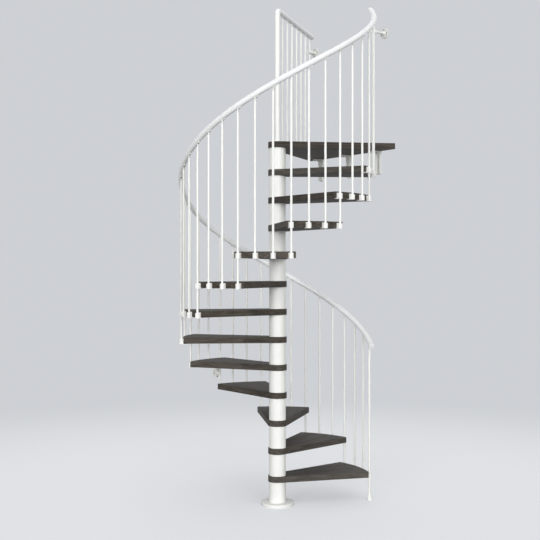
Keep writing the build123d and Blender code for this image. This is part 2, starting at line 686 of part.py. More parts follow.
UPPER_SPOT = at(LAST_BALUSTER_PATH_R, turn(LAST_BALUSTER))
upper_form = sleeve_bracket(WALL_X - UPPER_SPOT[0])
with BuildPart() as wall_bracket_upper:
    with Locations((UPPER_SPOT[0], UPPER_SPOT[1], baluster_top_z(LAST_BALUSTER) - UPPER_BRACKET_DROP)):
        add(upper_form)
wall_bracket_upper.part.label = "wall_bracket_upper"
export_step(wall_bracket_upper.part, "parts/wall_bracket_upper.step")

GUARD_SPOT = at(GUARD_STEP * GUARD_BALUSTERS, GUARD_DEG)
guard_form = sleeve_bracket(WALL_X - GUARD_SPOT[0])
with BuildPart() as wall_bracket_landing:
    with Locations((GUARD_SPOT[0], GUARD_SPOT[1], GUARD_Z - BALUSTER_DROP - GUARD_BRACKET_DROP)):
        add(guard_form)
wall_bracket_landing.part.label = "wall_bracket_landing"
export_step(wall_bracket_landing.part, "parts/wall_bracket_landing.step")

LOWER_SPOT = at(RAIL_PATH_R, turn(LOWER_BRACKET_BALUSTER))
LOWER_BRACKET_Z = baluster_foot_z(LOWER_BRACKET_BALUSTER) + LOWER_BRACKET_UP
lower_form = cup_bracket(WALL_Y - LOWER_SPOT[1])
with BuildPart() as wall_bracket_lower:
    with Locations(Location((LOWER_SPOT[0], LOWER_SPOT[1], LOWER_BRACKET_Z), (0, 0, 90))):
        add(lower_form)
wall_bracket_lower.part.label = "wall_bracket_lower"
export_step(wall_bracket_lower.part, "parts/wall_bracket_lower.step")

# supports under the landing: a pressed tray shape, one leg down the wall, one under the board;
# drawn with the wall at x = 0 and the underside of the landing at z = 0
HALF_W = SUPPORT_W / 2
with BuildPart() as support:
    with BuildSketch(Plane.YZ.offset(-SUPPORT_DEPTH)):
        with Locations((0, (HALF_W - SUPPORT_DROP) / 2)):
            Rectangle(SUPPORT_W, SUPPORT_DROP - HALF_W)
        with Locations((0, HALF_W - SUPPORT_DROP)):
            Circle(HALF_W)
    extrude(amount=SUPPORT_DEPTH)
    with BuildSketch(Plane.XY.offset(-SUPPORT_RIM)):
        with Locations(((HALF_W - SUPPORT_REACH) / 2, 0)):
            Rectangle(SUPPORT_REACH - HALF_W, SUPPORT_W)
        with Locations((HALF_W - SUPPORT_REACH, 0)):
            Circle(HALF_W)
    extrude(amount=SUPPORT_RIM)
    with BuildSketch(Plane.YZ.offset(-SUPPORT_DEPTH)):
        with Locations((0, (HALF_W - SUPPORT_DROP - SUPPORT_WALL) / 2)):
            Rectangle(SUPPORT_W - 2 * SUPPORT_WALL, SUPPORT_DROP - HALF_W - SUPPORT_WALL)
        with Locations((0, HALF_W - SUPPORT_DROP)):
            Circle(HALF_W - SUPPORT_WALL)
    extrude(amount=SUPPORT_RECESS, mode=Mode.SUBTRACT)
    with BuildSketch(Plane.XY.offset(-SUPPORT_RIM)):
        with Locations(((HALF_W - SUPPORT_REACH - SUPPORT_WALL) / 2, 0)):
            Rectangle(SUPPORT_REACH - HALF_W - SUPPORT_WALL, SUPPORT_W - 2 * SUPPORT_WALL)
        with Locations((HALF_W - SUPPORT_REACH, 0)):
            Circle(HALF_W - SUPPORT_WALL)
    extrude(amount=SUPPORT_RECESS, mode=Mode.SUBTRACT)
    with BuildSketch(Plane.YZ.offset(-SUPPORT_DEPTH)):
        with Locations((0, SUPPORT_HOLE_UP - SUPPORT_DROP),
                       (0, SUPPORT_HOLE_UP + SUPPORT_HOLE_STEP - SUPPORT_DROP)):
            Circle(SUPPORT_HOLE_R)
    extrude(amount=SUPPORT_DEPTH, mode=Mode.SUBTRACT)
    with BuildSketch(Plane.XY.offset(-SUPPORT_RIM)):
        with Locations((SUPPORT_SCREW_IN - SUPPORT_REACH, 0),
                       (SUPPORT_SCREW_IN + SUPPORT_SCREW_STEP - SUPPORT_REACH, 0)):
            Circle(SUPPORT_SCREW_R)
    extrude(amount=SUPPORT_RIM, mode=Mode.SUBTRACT)

with BuildPart() as landing_supports:
    with Locations(*[(WALL_X, SUPPORT_MIDDLE_Y + SUPPORT_STEP * (n - (SUPPORT_COUNT - 1) / 2),
                      LANDING_UNDER - SUPPORT_GAP) for n in range(SUPPORT_COUNT)]):
        add(support.part)
landing_supports.part.label = "landing_supports"
export_step(landing_supports.part, "parts/landing_supports.step")
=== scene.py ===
# %% [markdown]
# # Dressing a spiral staircase
# The stair comes packed as exact solids: a white pole, dark wedge treads, balusters and a spiral
# rail. This lesson keeps every solid where it is, gives each one a finish that is worked out by
# nodes, adds the small fasteners that a solid model leaves out, and stands finer saddles under the
# rails.

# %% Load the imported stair
import bpy
import math
from mathutils import Matrix, Vector


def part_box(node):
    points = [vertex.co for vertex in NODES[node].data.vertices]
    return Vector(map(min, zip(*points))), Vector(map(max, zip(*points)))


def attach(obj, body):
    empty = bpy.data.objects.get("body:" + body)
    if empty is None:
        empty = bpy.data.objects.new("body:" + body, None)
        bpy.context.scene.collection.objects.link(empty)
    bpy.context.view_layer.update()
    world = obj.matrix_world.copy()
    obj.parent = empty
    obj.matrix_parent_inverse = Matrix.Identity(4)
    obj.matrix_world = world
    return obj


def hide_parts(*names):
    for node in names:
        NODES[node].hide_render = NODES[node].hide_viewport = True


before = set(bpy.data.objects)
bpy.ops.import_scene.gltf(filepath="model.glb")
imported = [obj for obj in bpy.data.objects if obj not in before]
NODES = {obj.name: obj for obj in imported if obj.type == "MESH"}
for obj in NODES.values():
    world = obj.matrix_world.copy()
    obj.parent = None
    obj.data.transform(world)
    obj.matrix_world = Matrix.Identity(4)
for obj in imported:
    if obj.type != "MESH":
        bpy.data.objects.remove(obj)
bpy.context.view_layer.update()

for stair_node in NODES.values():
    stair_node.select_set(False)

# %% [markdown]
# ## Where the picture is taken from
# The stair was fitted to its photograph as one camera and one set of sizes, so the camera stands
# at a measured place: eye height 1.78 m, looking level, about 7.2 m from the pole. A level camera
# keeps the pole and the balusters upright in the picture, and needs no lens shift here, because
# the eye height is the middle of the image.

# %% The camera
EYE = (-4.3593, -5.7645, 1.777)
LOOK_DEG = 36.65
LENS_MM = 63.616
SENSOR_MM = 36.0
camera_data = bpy.data.cameras.new("stair_camera")
camera_data.lens = LENS_MM
camera_data.sensor_width = SENSOR_MM
stair_camera = bpy.data.objects.new("stair_camera", camera_data)
stair_camera.location = EYE
stair_camera.rotation_euler = (math.pi / 2, 0.0, -math.radians(LOOK_DEG))
bpy.context.scene.collection.objects.link(stair_camera)
bpy.context.scene.camera = stair_camera
bpy.context.scene.view_settings.view_transform = "Standard"
print("lens in mm:", camera_data.lens)

# %% [markdown]
# ## Helpers for nodes
# Every finish below is a small net of shader nodes, and the same few kinds of node come back in
# all of them. The first helper fills a socket: it links the socket when it is given another node's
# output, and otherwise sets it to a plain value. Each of the others makes one node and hands back
# its output, so that a net can be written down like a sum.


# %% One helper for each kind of node
def feed(tree, value, socket):
    if isinstance(value, bpy.types.NodeSocket):
        tree.links.new(value, socket)
    else:
        socket.default_value = value


def math_node(tree, operation, first, second=None, clamp=False):
    made = tree.nodes.new("ShaderNodeMath")
    made.operation = operation
    made.use_clamp = clamp
    feed(tree, first, made.inputs[0])
    if second is not None:
        feed(tree, second, made.inputs[1])
    return made.outputs[0]


def tone_mix(tree, factor, low_tone, high_tone):
    made = tree.nodes.new("ShaderNodeMix")
    made.data_type = "RGBA"
    feed(tree, factor, made.inputs["Factor"])
    feed(tree, low_tone, made.inputs[6])
    feed(tree, high_tone, made.inputs[7])
    return made.outputs[2]


def map_range(tree, source, start=(0.0, 1.0), end=(0.0, 1.0), smooth=False):
    made = tree.nodes.new("ShaderNodeMapRange")
    if smooth:
        made.interpolation_type = "SMOOTHSTEP"
    feed(tree, source, made.inputs["Value"])
    for label, value in zip(("From Min", "From Max", "To Min", "To Max"), (*start, *end)):
        feed(tree, value, made.inputs[label])
    return made.outputs["Result"]


def noise(tree, spot, scale, detail, rough=0.5):
    made = tree.nodes.new("ShaderNodeTexNoise")
    feed(tree, spot, made.inputs["Vector"])
    feed(tree, scale, made.inputs["Scale"])
    made.inputs["Detail"].default_value = detail
    made.inputs["Roughness"].default_value = rough
    return made.outputs["Fac"]


def shader_mix(tree, factor, low_shader, high_shader):
    made = tree.nodes.new("ShaderNodeMixShader")
    feed(tree, factor, made.inputs["Fac"])
    feed(tree, low_shader, made.inputs[1])
    feed(tree, high_shader, made.inputs[2])
    return made.outputs[0]


def seen_or_mirrored(tree, rays):
    return math_node(tree, "MAXIMUM", rays.outputs["Is Camera Ray"], rays.outputs["Is Glossy Ray"])


NODE_HELPERS = (feed, math_node, tone_mix, map_range, noise, shader_mix, seen_or_mirrored)
print("node helpers:", [helper.__name__ for helper in NODE_HELPERS])

# %% [markdown]
# ## Floor, background and light
# The stair stands on a plain pale floor under a plain pale sky. White paint only reads as white if
# the light is even, so all of it is wide and soft. Two suns stand behind the camera, one on either
# side, so that the pole throws no hard shadow on the rail behind it. A weak one from above lights
# the treads, and a weak one from behind fills in. The floor is seen pale, but it throws less
# light back up than it shows, so that the undersides of the rail and the treads stay darker, as
# they do in a room. Far from the stair the floor fades into the tone of the sky, and no horizon
# line cuts the picture.

# %% Floor
FLOOR_R = 90.0
FLOOR_DROP = 0.0005
bpy.ops.mesh.primitive_circle_add(vertices=96, radius=FLOOR_R, fill_type="NGON",
                                  location=(0, 0, -FLOOR_DROP))
floor = bpy.context.active_object
floor.name = "studio_floor"
floor_paint = bpy.data.materials.new("floor_paint")
floor_paint.use_nodes = True
floor.data.materials.append(floor_paint)
print("floor radius in metres:", round(floor.dimensions.x / 2, 1))

# %% The floor's tone, and its fade into the sky
BACKDROP = (0.612, 0.630, 0.658, 1.0)
NEAR_GLOW = (0.88, 0.90, 0.93, 1.0)
SEEN_FLOOR = (0.88, 0.90, 0.925, 1.0)
BOUNCE_FLOOR = (0.34, 0.34, 0.33, 1.0)
FADE_REACH = (1.2, 7.0)
FADE_SHARE = (0.45, 1.0)
TONE_REACH = (1.0, 6.0)
paint = floor_paint.node_tree
floor_shader = paint.nodes["Principled BSDF"]
floor_shader.inputs["Roughness"].default_value = 0.8
floor_shader.inputs["Specular IOR Level"].default_value = 0.1
floor_rays = paint.nodes.new("ShaderNodeLightPath")
floor_tone = tone_mix(paint, floor_rays.outputs["Is Camera Ray"], BOUNCE_FLOOR, SEEN_FLOOR)
feed(paint, floor_tone, floor_shader.inputs["Base Color"])
floor_spot = paint.nodes.new("ShaderNodeTexCoord")
floor_far = paint.nodes.new("ShaderNodeVectorMath")
floor_far.operation = "LENGTH"
feed(paint, floor_spot.outputs["Object"], floor_far.inputs[0])
fade = map_range(paint, floor_far.outputs["Value"], FADE_REACH, FADE_SHARE, smooth=True)
reach = map_range(paint, floor_far.outputs["Value"], TONE_REACH, smooth=True)
share = math_node(paint, "MULTIPLY", fade, seen_or_mirrored(paint, floor_rays))
floor_glow = paint.nodes.new("ShaderNodeEmission")
feed(paint, tone_mix(paint, reach, NEAR_GLOW, BACKDROP), floor_glow.inputs["Color"])
floor_mix = shader_mix(paint, share, floor_shader.outputs[0], floor_glow.outputs[0])
feed(paint, floor_mix, paint.nodes["Material Output"].inputs["Surface"])
print("nodes in the floor's paint:", len(paint.nodes))

# %% Sky
SKY_LIGHT = (1.0, 1.0, 0.99, 1.0)
SKY_LEVEL = 0.45
sky = bpy.data.worlds.new("pale_sky")
sky.use_nodes = True
bpy.context.scene.world = sky
air = sky.node_tree
air.nodes.clear()
sky_out = air.nodes.new("ShaderNodeOutputWorld")
seen = air.nodes.new("ShaderNodeBackground")
seen.inputs["Color"].default_value = BACKDROP
seen.inputs["Strength"].default_value = 1.0
lit = air.nodes.new("ShaderNodeBackground")
lit.inputs["Color"].default_value = SKY_LIGHT
lit.inputs["Strength"].default_value = SKY_LEVEL
sky_rays = air.nodes.new("ShaderNodeLightPath")
sky_mix = shader_mix(air, seen_or_mirrored(air, sky_rays), lit.outputs[0], seen.outputs[0])
feed(air, sky_mix, sky_out.inputs["Surface"])
print("sky light level:", SKY_LEVEL)


# %% Soft suns
def soft_sun(name, strength, from_deg, height_deg, width_deg):
    lamp = bpy.data.lights.new(name, "SUN")
    lamp.energy = strength
    lamp.angle = math.radians(width_deg)
    holder = bpy.data.objects.new(name, lamp)
    holder.rotation_euler = (math.radians(90 - height_deg), 0.0, math.radians(from_deg))
    bpy.context.scene.collection.objects.link(holder)


soft_sun("key_sun", 1.68, -LOOK_DEG + 21.0, 4.0, 26.0)
soft_sun("side_sun", 1.48, -LOOK_DEG - 27.0, 5.0, 26.0)
soft_sun("top_sun", 0.5, -LOOK_DEG + 10.0, 60.0, 50.0)
soft_sun("fill_sun", 0.5, 180.0 - LOOK_DEG, 20.0, 100.0)

# %% [markdown]
# ## The painted metal and the moulded plastic
# The pole, balusters, rails and brackets are steel tube with a baked white paint. Such paint is
# never quite flat: it has a fine orange-peel surface, and its gloss and tone drift a little along
# the tube. One node group holds that effect, because the plastic pieces use it too with their own
# numbers, and so do the rails, whose white is cooler and glossier. The group only puts out a
# colour, a roughness and a height; the shader stays outside.


# %% How a group and a material are made
def new_group(name, inputs, outputs):
    group = bpy.data.node_groups.new(name, "ShaderNodeTree")
    for label, kind in inputs:
        group.interface.new_socket(name=label, in_out="INPUT", socket_type=kind)
    for label, kind in outputs:
        group.interface.new_socket(name=label, in_out="OUTPUT", socket_type=kind)
    return group, group.nodes.new("NodeGroupInput"), group.nodes.new("NodeGroupOutput")


def surfaced(name, group, values, bump, depth):
    made = bpy.data.materials.new(name)
    made.use_nodes = True
    tree = made.node_tree
    shader = tree.nodes["Principled BSDF"]
    effect = tree.nodes.new("ShaderNodeGroup")
    effect.node_tree = group
    for label, value in values.items():
        effect.inputs[label].default_value = value
    raised = tree.nodes.new("ShaderNodeBump")
    raised.inputs["Strength"].default_value = bump
    raised.inputs["Distance"].default_value = depth
    tree.links.new(effect.outputs["Color"], shader.inputs["Base Color"])
    tree.links.new(effect.outputs["Roughness"], shader.inputs["Roughness"])
    tree.links.new(effect.outputs["Height"], raised.inputs["Height"])
    tree.links.new(raised.outputs["Normal"], shader.inputs["Normal"])
    return made


SURFACE_OUTPUTS = [("Color", "NodeSocketColor"), ("Roughness", "NodeSocketFloat"),
                   ("Height", "NodeSocketFloat")]
print("what a surface group puts out:", [label for label, kind in SURFACE_OUTPUTS])

# %% The group for painted and moulded surfaces
DRIFT_SCALE = 3.5
HAZE_SCALE = 55.0
coat, coat_in, coat_out = new_group(
    "smooth_coat",
    [("Tone", "NodeSocketColor"), ("Drift Tone", "NodeSocketColor"),
     ("Peel Scale", "NodeSocketFloat"), ("Rough Low", "NodeSocketFloat"),
     ("Rough High", "NodeSocketFloat")],
    SURFACE_OUTPUTS)
place = coat.nodes.new("ShaderNodeTexCoord").outputs["Object"]
drift = noise(coat, place, DRIFT_SCALE, 4.0)
coat_tone = tone_mix(coat, drift, coat_in.outputs["Tone"], coat_in.outputs["Drift Tone"])
feed(coat, coat_tone, coat_out.inputs["Color"])
haze = noise(coat, place, HAZE_SCALE, 3.0)
gloss_range = (coat_in.outputs["Rough Low"], coat_in.outputs["Rough High"])
feed(coat, map_range(coat, haze, end=gloss_range), coat_out.inputs["Roughness"])
peel = noise(coat, place, coat_in.outputs["Peel Scale"], 2.0)
feed(coat, peel, coat_out.inputs["Height"])
print("nodes in the coat group:", len(coat.nodes))

# %% The white finishes
PEEL_DEPTH = 0.00003


def coated(name, tone, drift_tone, peel_scale, rough_low, rough_high, bump):
    values = {"Tone": (*tone, 1.0), "Drift Tone": (*drift_tone, 1.0), "Peel Scale": peel_scale,
              "Rough Low": rough_low, "Rough High": rough_high}
    return surfaced(name, coat, values, bump, PEEL_DEPTH)


white_paint = coated("white_paint", (0.88, 0.887, 0.862), (0.85, 0.855, 0.83),
                     320.0, 0.30, 0.44, 0.6)
white_plastic = coated("moulded_white", (0.885, 0.89, 0.87), (0.86, 0.862, 0.84),
                       900.0, 0.38, 0.52, 0.4)
rail_white = coated("rail_white", (0.845, 0.862, 0.868), (0.815, 0.834, 0.842),
                    320.0, 0.20, 0.30, 0.5)
print("coated finishes:", white_paint.name, white_plastic.name, rail_white.name)

# %% [markdown]
# ## The dark wood
# Each tread is a board whose grain runs from the pole to the outer edge, so the pattern has to be
# turned with the tread. On the landing it runs along the front edge. The grain group takes that
# turn as a number, turns the object's own coordinates back by it, stretches them along the board
# and reads noise there: broad streaks, fine pores, and a slight step of tone from one glued stave
# to the next. The noise is finer up and down than across, so the edges show long thin lines too.

# %% A group for wood grain, turned with its board
grain, grain_in, grain_out = new_group(
    "long_grain",
    [("Turn", "NodeSocketFloat"), ("Dark Tone", "NodeSocketColor"),
     ("Light Tone", "NodeSocketColor"), ("Pore Tone", "NodeSocketColor"),
     ("Stave Width", "NodeSocketFloat")],
    SURFACE_OUTPUTS)
board = grain.nodes.new("ShaderNodeTexCoord")
turned = grain.nodes.new("ShaderNodeVectorRotate")
turned.rotation_type = "Z_AXIS"
feed(grain, board.outputs["Object"], turned.inputs["Vector"])
feed(grain, grain_in.outputs["Turn"], turned.inputs["Angle"])
board_spot = turned.outputs["Vector"]
print("what the grain group takes in:", [socket.name for socket in grain_in.outputs if socket.name])


# %% Streaks and pores
def stretched(tree, spot, factors):
    made = tree.nodes.new("ShaderNodeVectorMath")
    made.operation = "MULTIPLY"
    feed(tree, spot, made.inputs[0])
    made.inputs[1].default_value = factors
    return made.outputs[0]


STREAK_STRETCH = (0.5, 9.0, 26.0)
PORE_STRETCH = (18.0, 420.0, 420.0)
PORE_EDGE = (0.56, 0.70)
streaks = noise(grain, stretched(grain, board_spot, STREAK_STRETCH), 4.0, 6.0, 0.62)
pores = noise(grain, stretched(grain, board_spot, PORE_STRETCH), 1.6, 2.0)
pore_mask = map_range(grain, pores, PORE_EDGE)
print("nodes in the grain group so far:", len(grain.nodes))

# %% Staves, each a little lighter or darker
STAVE_STEP = 0.16
parts = grain.nodes.new("ShaderNodeSeparateXYZ")
feed(grain, board_spot, parts.inputs[0])
stave = math_node(grain, "DIVIDE", parts.outputs["Y"], grain_in.outputs["Stave Width"])
stave_tone = grain.nodes.new("ShaderNodeTexWhiteNoise")
stave_tone.noise_dimensions = "1D"
feed(grain, math_node(grain, "FLOOR", stave), stave_tone.inputs["W"])
stave_shift = map_range(grain, stave_tone.outputs["Value"], end=(-STAVE_STEP, STAVE_STEP))
print("stave step of tone:", STAVE_STEP)

# %% Colour, gloss and height of the wood
STREAK_EDGE = (0.32, 0.68)
SHEEN = (0.60, 0.78)
streak_level = map_range(grain, streaks, STREAK_EDGE)
level = math_node(grain, "ADD", streak_level, stave_shift, clamp=True)
wood_tone = tone_mix(grain, level, grain_in.outputs["Dark Tone"], grain_in.outputs["Light Tone"])
pored_tone = tone_mix(grain, pore_mask, wood_tone, grain_in.outputs["Pore Tone"])
feed(grain, pored_tone, grain_out.inputs["Color"])
feed(grain, map_range(grain, streaks, end=SHEEN), grain_out.inputs["Roughness"])
feed(grain, math_node(grain, "SUBTRACT", streaks, pore_mask), grain_out.inputs["Height"])
print("nodes in the grain group:", len(grain.nodes))

# %% A wood finish with its own turn, and a step of tone that is partly its own and partly painted shade
DARK_TONE = (0.0315, 0.0265, 0.0215)
LIGHT_TONE = (0.113, 0.097, 0.0805)
PORE_TONE = (0.024, 0.019, 0.016)
STAVE_WIDTH = 0.062
GRAIN_BUMP = 0.35
GRAIN_DEPTH = 0.0001
WOOD_SPECULAR = 0.34


def dark_wood(name, turn_deg, tone_and_shade):
    values = {"Turn": -math.radians(turn_deg),
              "Dark Tone": (*[part + tone_and_shade for part in DARK_TONE], 1.0),
              "Light Tone": (*[part + tone_and_shade for part in LIGHT_TONE], 1.0),
              "Pore Tone": (*PORE_TONE, 1.0),
              "Stave Width": STAVE_WIDTH}
    made = surfaced(name, grain, values, GRAIN_BUMP, GRAIN_DEPTH)
    shader = made.node_tree.nodes["Principled BSDF"]
    shader.inputs["Specular IOR Level"].default_value = WOOD_SPECULAR
    return made


# %% One wood finish for each board, lighter or darker by its own tone and by painted light
START_DEG = -24.72
PITCH_DEG = 9.818
# Each board's step of tone is partly the board's own tone and partly painted light: boards lying in
# deeper shade, such as the first one and the last one under the landing, are made lighter. The
# landing's step is of the same kind.
BOARD_TONE_AND_SHADE = (0.014, 0.003, -0.008, -0.014, -0.006, -0.0135,
               -0.0135, -0.015, -0.003, -0.0135, -0.009, 0.009)
LANDING_FRONT_DEG = -33.479
LANDING_TONE_AND_SHADE = -0.0155
tread_woods = {}
for step in range(1, 13):
    node_name = "tread_%02d" % step
    middle_deg = START_DEG + PITCH_DEG * (3 * (step - 1) + 1.5)
    tread_woods[node_name] = dark_wood("wood_" + node_name, middle_deg, BOARD_TONE_AND_SHADE[step - 1])
tread_woods["landing"] = dark_wood("wood_landing", LANDING_FRONT_DEG, LANDING_TONE_AND_SHADE)
print("wood finishes:", len(tread_woods))

# %% [markdown]
# ## Bare steel
# The tie rod, the base plate and most screws are plain zinc, and the screws in the saddles are
# nearly black: partly their own dark steel, partly painted shade, so that each shows as a dark dot
# in the shade under its plate. Both reuse the coat group, whose drift of tone and gloss also suits
# bare metal, with darker tones. That they are metal is the same all over, so it is set on the
# shader itself.

# %% Zinc, and dark steel with painted shade
zinc = coated("plain_zinc", (0.45, 0.46, 0.47), (0.36, 0.37, 0.38), 250.0, 0.35, 0.6, 0.3)
dark_steel_and_shade = coated("dark_steel_and_shade", (0.075, 0.076, 0.08), (0.05, 0.05, 0.054),
                    250.0, 0.35, 0.55, 0.3)
for steel in (zinc, dark_steel_and_shade):
    steel.node_tree.nodes["Principled BSDF"].inputs["Metallic"].default_value = 1.0
print("bare finishes:", zinc.name, dark_steel_and_shade.name)

# %% [markdown]
# ## Handing out the finishes
# Each solid keeps its mesh and only gets a material. The boards have a wood finish each, three
# lists name the other solids that differ from the white paint, and all that is left is painted.

# %% Give every node its finish
PLASTIC = ("base_cover", "clamps_lower", "clamps_middle", "clamps_upper", "saddles_lower",
           "saddles_middle", "saddles_upper", "landing_saddles")
STEEL = ("base_plate", "tie_rod")
RAILS = ("handrail_lower", "handrail_middle", "handrail_upper", "handrail_caps", "landing_rail")
for node_name, node in NODES.items():
    finish = white_paint
    if node_name in tread_woods:
        finish = tread_woods[node_name]
    elif node_name in PLASTIC:
        finish = white_plastic
    elif node_name in STEEL:
        finish = zinc
    elif node_name in RAILS:
        finish = rail_white
    if not node.data.materials:
        node.data.materials.append(finish)
    for number in range(len(node.data.materials)):
        node.data.materials[number] = finish
print("nodes with a finish:", sum(1 for n in NODES.values() if n.data.materials))

# %% [markdown]
# ## Small fasteners
# A solid model stops at clean holes. The real stair is held together by screws, and close up they
# are what makes it believable: four in every wall flange, two in each leg of a landing support,
# four in the foot of the post, and one through the lip of every clamp into the tread above it. All
# are pan heads with a cross recess, so one head is modelled by hand and then copied at the sizes
# that are needed. It starts as a short cylinder. A bevel rounds its rim, an inset marks the middle
# of the top, four bisect cuts draw a cross there, and an extrude presses the cross in.


# %% Picking faces by their place
def let_go():
    for chosen in list(bpy.context.selected_objects):
        chosen.select_set(False)


def pick_faces(piece, test):
    bpy.ops.object.mode_set(mode="OBJECT")
    for corner in piece.data.vertices:
        corner.select = False
    for edge in piece.data.edges:
        edge.select = False
    for face in piece.data.polygons:
        face.select = test(face)
    bpy.ops.object.mode_set(mode="EDIT")
    bpy.ops.mesh.select_mode(type="FACE")


def from_axis(face):
    return math.hypot(face.center.x, face.center.y)


# %% One screw head, drawn on the floor with its recess upwards
HEAD_R = 0.005
HEAD_H = 0.0026
CROSS_R = 0.0030
CROSS_HALF = 0.00055
CROSS_DEPTH = HEAD_H * 0.5
RIM_ROUND = HEAD_H * 0.55
SMOOTH_DEG = 35
let_go()
bpy.ops.mesh.primitive_cylinder_add(vertices=16, radius=HEAD_R, depth=HEAD_H,
                                    location=(0, 0, HEAD_H / 2))
screw_head = bpy.context.active_object
screw_head.name = "screw_head"
bpy.ops.object.transform_apply(location=True, rotation=True, scale=True)
pick_faces(screw_head, lambda face: face.normal.z > 0.9)
bpy.ops.mesh.bevel(offset=RIM_ROUND, segments=2, affect="EDGES")
pick_faces(screw_head, lambda face: face.normal.z > 0.99)
top_r = max(math.hypot(screw_head.data.vertices[n].co.x, screw_head.data.vertices[n].co.y)
            for face in screw_head.data.polygons if face.normal.z > 0.99 for n in face.vertices)
bpy.ops.mesh.inset(thickness=top_r - CROSS_R)
print("flat top of the head in metres:", round(top_r, 5))


# %% The cross recess
def in_cross_field(face):
    return face.normal.z > 0.99 and from_axis(face) < CROSS_R * 0.97


for cut_at, cut_along in ((CROSS_HALF, (1, 0, 0)), (-CROSS_HALF, (1, 0, 0)),
                          (CROSS_HALF, (0, 1, 0)), (-CROSS_HALF, (0, 1, 0))):
    pick_faces(screw_head, in_cross_field)
    cut_spot = (cut_at * cut_along[0], cut_at * cut_along[1], HEAD_H)
    bpy.ops.mesh.bisect(plane_co=cut_spot, plane_no=cut_along)
pick_faces(screw_head, lambda face: in_cross_field(face)
           and min(abs(face.center.x), abs(face.center.y)) < CROSS_HALF * 0.9)
bpy.ops.mesh.extrude_region_move(TRANSFORM_OT_translate={"value": (0, 0, -CROSS_DEPTH)})
bpy.ops.object.mode_set(mode="OBJECT")
bpy.ops.object.shade_smooth_by_angle(angle=math.radians(SMOOTH_DEG))
print("faces in one screw head:", len(screw_head.data.polygons))


# %% Copying a form to where it goes, each copy with its own mesh
def joined_copies(name, form, placings):
    let_go()
    twins = []
    for placing in placings:
        twin = form.copy()
        twin.data = form.data.copy()
        twin.data.transform(placing)
        bpy.context.scene.collection.objects.link(twin)
        twins.append(twin)
    for twin in twins:
        twin.select_set(True)
    bpy.context.view_layer.objects.active = twins[0]
    if len(twins) > 1:
        bpy.ops.object.join()
    piece = bpy.context.active_object
    piece.name = name
    return piece


# %% A set of screws as one piece
def turned_to(direction):
    return Vector((0, 0, 1)).rotation_difference(Vector(direction)).to_matrix().to_4x4()


def set_of_screws(name, places, head_r, finish):
    grown = Matrix.Scale(head_r / HEAD_R, 4)
    placings = [Matrix.Translation(Vector(spot)) @ turned_to(direction) @ grown
                for spot, direction in places]
    piece = joined_copies(name, screw_head, placings)
    piece.data.materials.clear()
    piece.data.materials.append(finish)
    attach(piece, "root")
    print(name, "screws:", len(places), "faces:", len(piece.data.polygons))


def ring_of(count, radius, first_deg):
    angles = [math.radians(first_deg + 360.0 * n / count) for n in range(count)]
    return [(radius * math.cos(angle), radius * math.sin(angle)) for angle in angles]


# %% Flange screws on the three wall brackets
FLANGE_BOLT_R = 0.029
FLANGE_T = 0.006
SCREW_R = 0.005
for side in ("upper", "landing"):
    low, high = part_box("wall_bracket_" + side)
    mid_y, mid_z = (low.y + high.y) / 2, (low.z + high.z) / 2
    set_of_screws("flange_screws_" + side,
                  [((high.x - FLANGE_T, mid_y + a, mid_z + b), (-1, 0, 0))
                   for a, b in ring_of(4, FLANGE_BOLT_R, 0.0)], SCREW_R, zinc)
low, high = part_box("wall_bracket_lower")
mid_x, mid_z = (low.x + high.x) / 2, (low.z + high.z) / 2
set_of_screws("flange_screws_lower",
              [((mid_x + a, high.y - FLANGE_T, mid_z + b), (0, -1, 0))
               for a, b in ring_of(4, FLANGE_BOLT_R, 0.0)], SCREW_R, zinc)

# %% Support screws, into the wall and up into the landing
SUPPORT_HALF = 0.022
LEG_T = 0.012
FOOT_T = 0.005
WALL_SCREW_R = 0.0072
WALL_SCREWS_UP = (0.025, 0.115)
BOARD_SCREWS_IN = (0.022, 0.052)
WALL_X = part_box("landing")[1].x
SUPPORT_LOW, SUPPORT_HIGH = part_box("landing_supports")
SUPPORT_Y = ((SUPPORT_LOW.y + SUPPORT_HALF), (SUPPORT_LOW.y + SUPPORT_HIGH.y) / 2,
             (SUPPORT_HIGH.y - SUPPORT_HALF))
wall_spots = [((WALL_X - LEG_T, y, SUPPORT_LOW.z + up), (-1, 0, 0))
              for y in SUPPORT_Y for up in WALL_SCREWS_UP]
set_of_screws("support_wall_screws", wall_spots, WALL_SCREW_R, white_plastic)
board_spots = [((SUPPORT_LOW.x + inward, y, SUPPORT_HIGH.z - FOOT_T), (0, 0, -1))
               for y in SUPPORT_Y for inward in BOARD_SCREWS_IN]
set_of_screws("support_board_screws", board_spots, SCREW_R, zinc)

# %% Screws in the foot of the landing post
POST_FOOT_T = 0.008
POST_SCREW_RING = 0.0325
POST_SCREW_DEG = 79.0
POST_FOOT_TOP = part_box("landing")[1].z + POST_FOOT_T
post_spots = [((x, y, POST_FOOT_TOP), (0, 0, 1))
              for x, y in ring_of(4, POST_SCREW_RING, POST_SCREW_DEG)]
set_of_screws("post_foot_screws", post_spots, SCREW_R, zinc)

# %% One screw through every clamp's lip
LIP_RING_R = 0.699
LIP_T = 0.005
LIP_SCREW_R = 0.0038
for flight, first_step in (("lower", 1), ("middle", 5), ("upper", 9)):
    spots = []
    for step in range(first_step, first_step + 4):
        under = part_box("tread_%02d" % step)[0].z - LIP_T
        for hole in range(4):
            angle = math.radians(START_DEG + PITCH_DEG * (3 * (step - 1) + hole))
            spots.append(((LIP_RING_R * math.cos(angle), LIP_RING_R * math.sin(angle), under),
                          (0, 0, -1)))
    set_of_screws("clamp_screws_" + flight, spots, LIP_SCREW_R, zinc)

# %% [markdown]
# ## The saddles under the rails
# Every baluster ends in a small cap that tapers to a thin stem, and the stem carries a plate that
# lies along the underside of the rail. The stem is upright and the rail slopes, so the stem meets
# the low end of the plate, the rest of the plate reaches uphill, and a screw through it holds the
# rail. The solids have a plain straight saddle there, so these pieces take their place. The cap and
# stem are one circle, extruded upwards and resized at each step like work on a lathe. The plate is
# a cube with its edges bevelled, leant to the slope of the rail.

